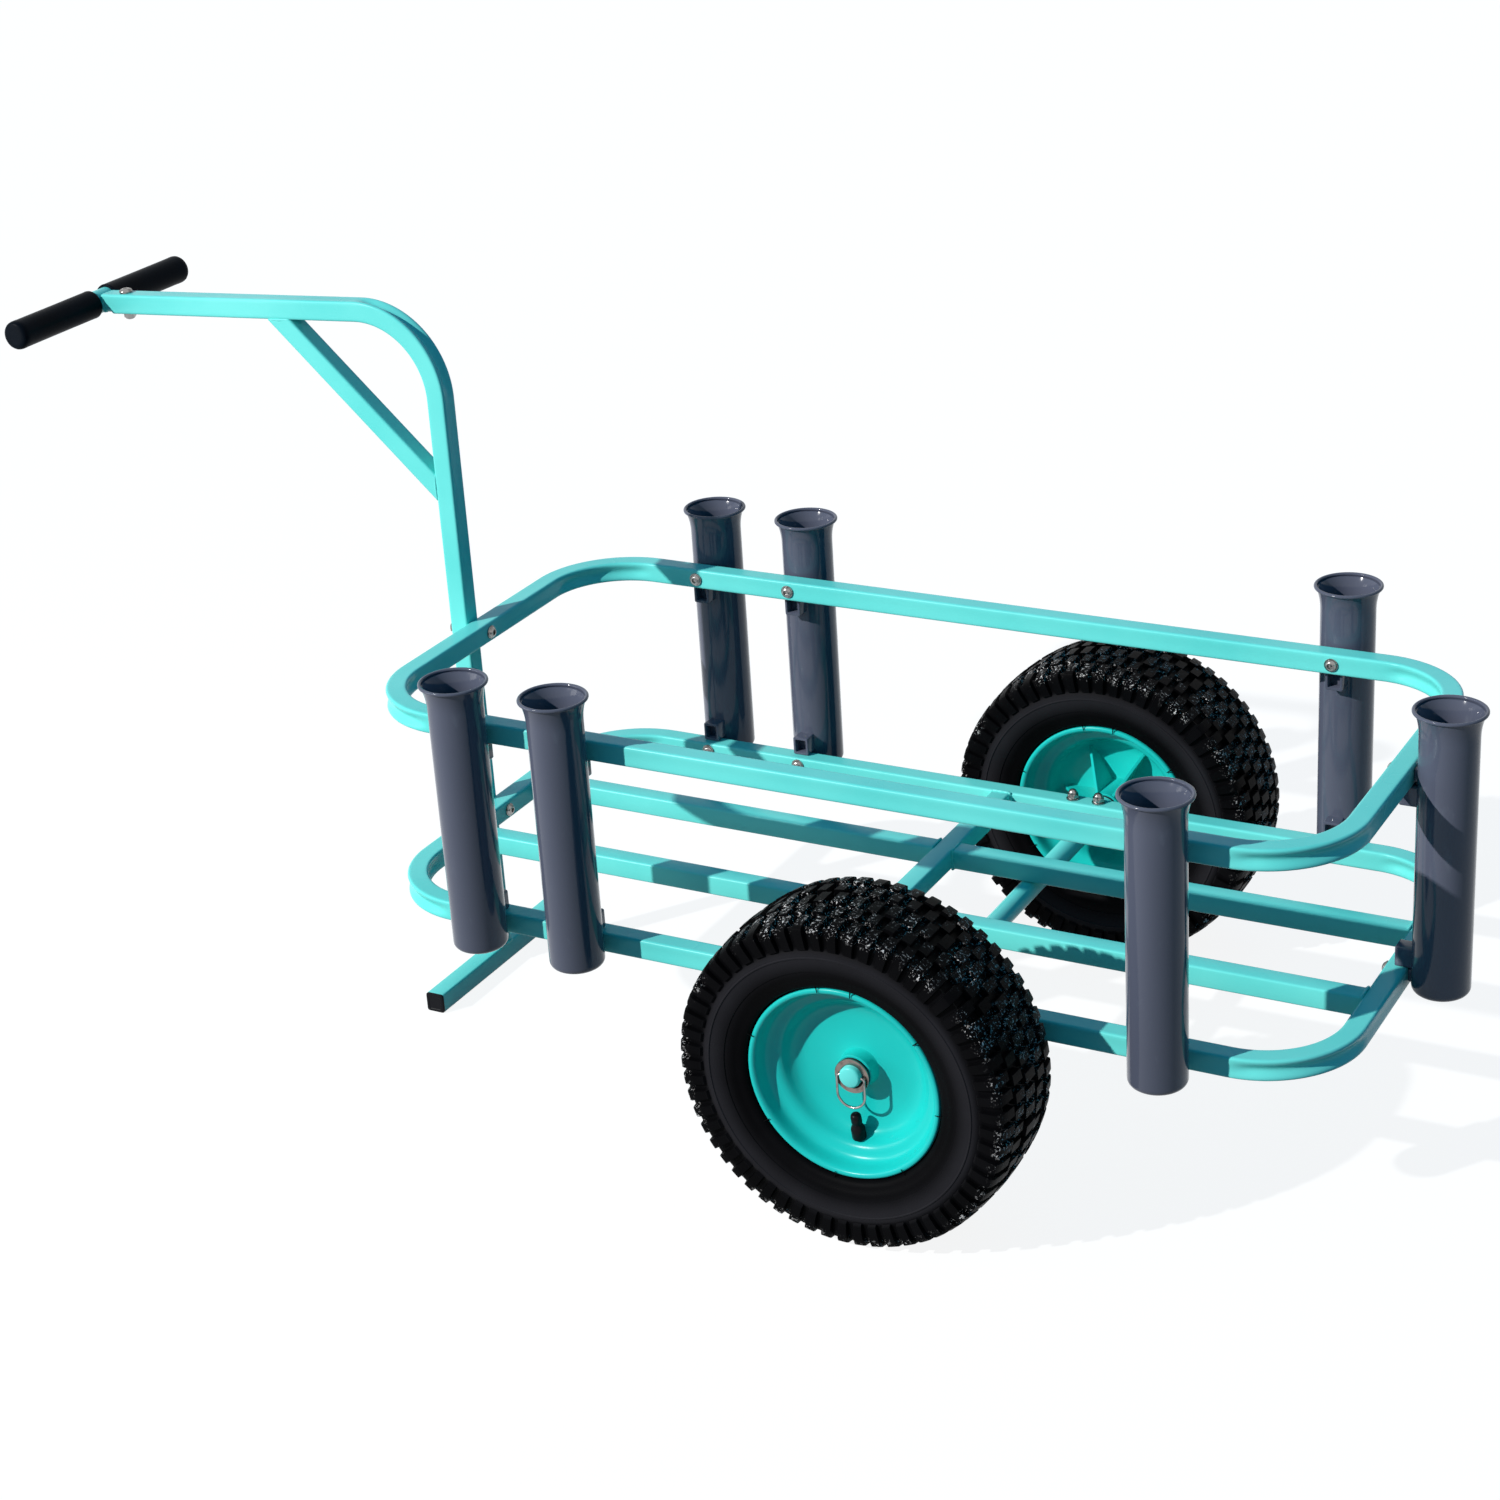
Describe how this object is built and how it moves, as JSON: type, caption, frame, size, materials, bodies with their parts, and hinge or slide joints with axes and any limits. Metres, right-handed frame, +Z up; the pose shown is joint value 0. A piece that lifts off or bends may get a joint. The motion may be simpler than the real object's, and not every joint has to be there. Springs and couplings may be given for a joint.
{
  "type": "fishing trolley",
  "caption": "Two-wheeled beach fishing trolley: a slatted deck between two tube loops, upright rod holders, pneumatic tyres and a braced T-handle on a ground foot.",
  "frame": {"origin": "on the ground, under the middle of the whole trolley's bounding box", "axes": "+X runs to the rear, away from the pull handle; +Y to the far side; +Z up"},
  "size_m": [1.379, 0.654, 0.6676],
  "materials": {
    "teal_tube": "gloss powder coat",
    "teal_rim": "gloss powder coat",
    "holder_plastic": "gloss, slate grey",
    "tyre": "matt rubber",
    "black_rubber": "satin rubber",
    "black_plastic": "satin",
    "nylon": "satin",
    "bright_steel": "polished stainless steel",
    "washer_steel": "dull zinc plate"
  },
  "bodies": {
    "frame": {"upper_rail": "teal_tube", "lower_rail": "teal_tube", "deck_cross_member": "teal_tube", "deck_slat_near_front": "teal_tube", "deck_slat_near_rear": "teal_tube", "deck_slat_far_front": "teal_tube", "deck_slat_far_rear": "teal_tube", "foot_bar": "teal_tube", "handle_tube": "teal_tube", "handle_brace": "teal_tube", "t_bar": "teal_tube", "axle": "teal_tube", "axle_u_bolt_near": "bright_steel", "axle_washer_near": "washer_steel", "grip_near": "black_rubber", "foot_cap_near": "black_plastic", "axle_u_bolt_far": "bright_steel", "axle_washer_far": "washer_steel", "grip_far": "black_rubber", "foot_cap_far": "black_plastic", "rod_holder_near_front": "holder_plastic", "rod_holder_near_middle": "holder_plastic", "rod_holder_near_rear": "holder_plastic", "rod_holder_far_front": "holder_plastic", "rod_holder_far_middle": "holder_plastic", "rod_holder_far_rear": "holder_plastic", "rod_holder_rear_end": "holder_plastic", "holder_bolt_upper_near_front": "bright_steel", "holder_bolt_lower_near_front": "bright_steel", "holder_bolt_upper_near_middle": "bright_steel", "holder_bolt_lower_near_middle": "bright_steel", "holder_bolt_upper_near_rear": "bright_steel", "holder_bolt_lower_near_rear": "bright_steel", "holder_bolt_upper_far_front": "bright_steel", "holder_bolt_lower_far_front": "bright_steel", "holder_bolt_upper_far_middle": "bright_steel", "holder_bolt_lower_far_middle": "bright_steel", "holder_bolt_upper_far_rear": "bright_steel", "holder_bolt_lower_far_rear": "bright_steel", "holder_bolt_upper_rear_end": "bright_steel", "holder_bolt_lower_rear_end": "bright_steel", "post_bolt_upper": "bright_steel", "post_bolt_lower": "bright_steel", "t_bar_bolt": "bright_steel"},
    "wheel_near": {"tyre_near": "tyre", "rim_near": "teal_rim", "hub_bush_outer_near": "nylon", "hub_bush_inner_near": "nylon", "valve_near": "black_rubber"},
    "keeper_ring_near": {"keeper_ring_near": "bright_steel"},
    "wheel_far": {"tyre_far": "tyre", "rim_far": "teal_rim", "hub_bush_outer_far": "nylon", "hub_bush_inner_far": "nylon", "valve_far": "black_rubber"},
    "keeper_ring_far": {"keeper_ring_far": "bright_steel"}
  },
  "joints": [
    {"name": "wheel_spin_near", "type": "hinge", "parent": "frame", "child": "wheel_near", "pos_m": [0.26002, -0.2765, 0.15], "axis": [0, 1, 0], "continuous": true},
    {"name": "wheel_spin_far", "type": "hinge", "parent": "frame", "child": "wheel_far", "pos_m": [0.26002, 0.2765, 0.15], "axis": [0, 1, 0], "continuous": true},
    {"name": "keeper_ring_swing_near", "type": "hinge", "parent": "frame", "child": "keeper_ring_near", "pos_m": [0.26002, -0.3016, 0.15], "axis": [1, 0, 0], "range_deg": [-170, 2.5]},
    {"name": "keeper_ring_swing_far", "type": "hinge", "parent": "frame", "child": "keeper_ring_far", "pos_m": [0.26002, 0.3016, 0.15], "axis": [1, 0, 0], "range_deg": [-2.5, 170]}
  ]
}
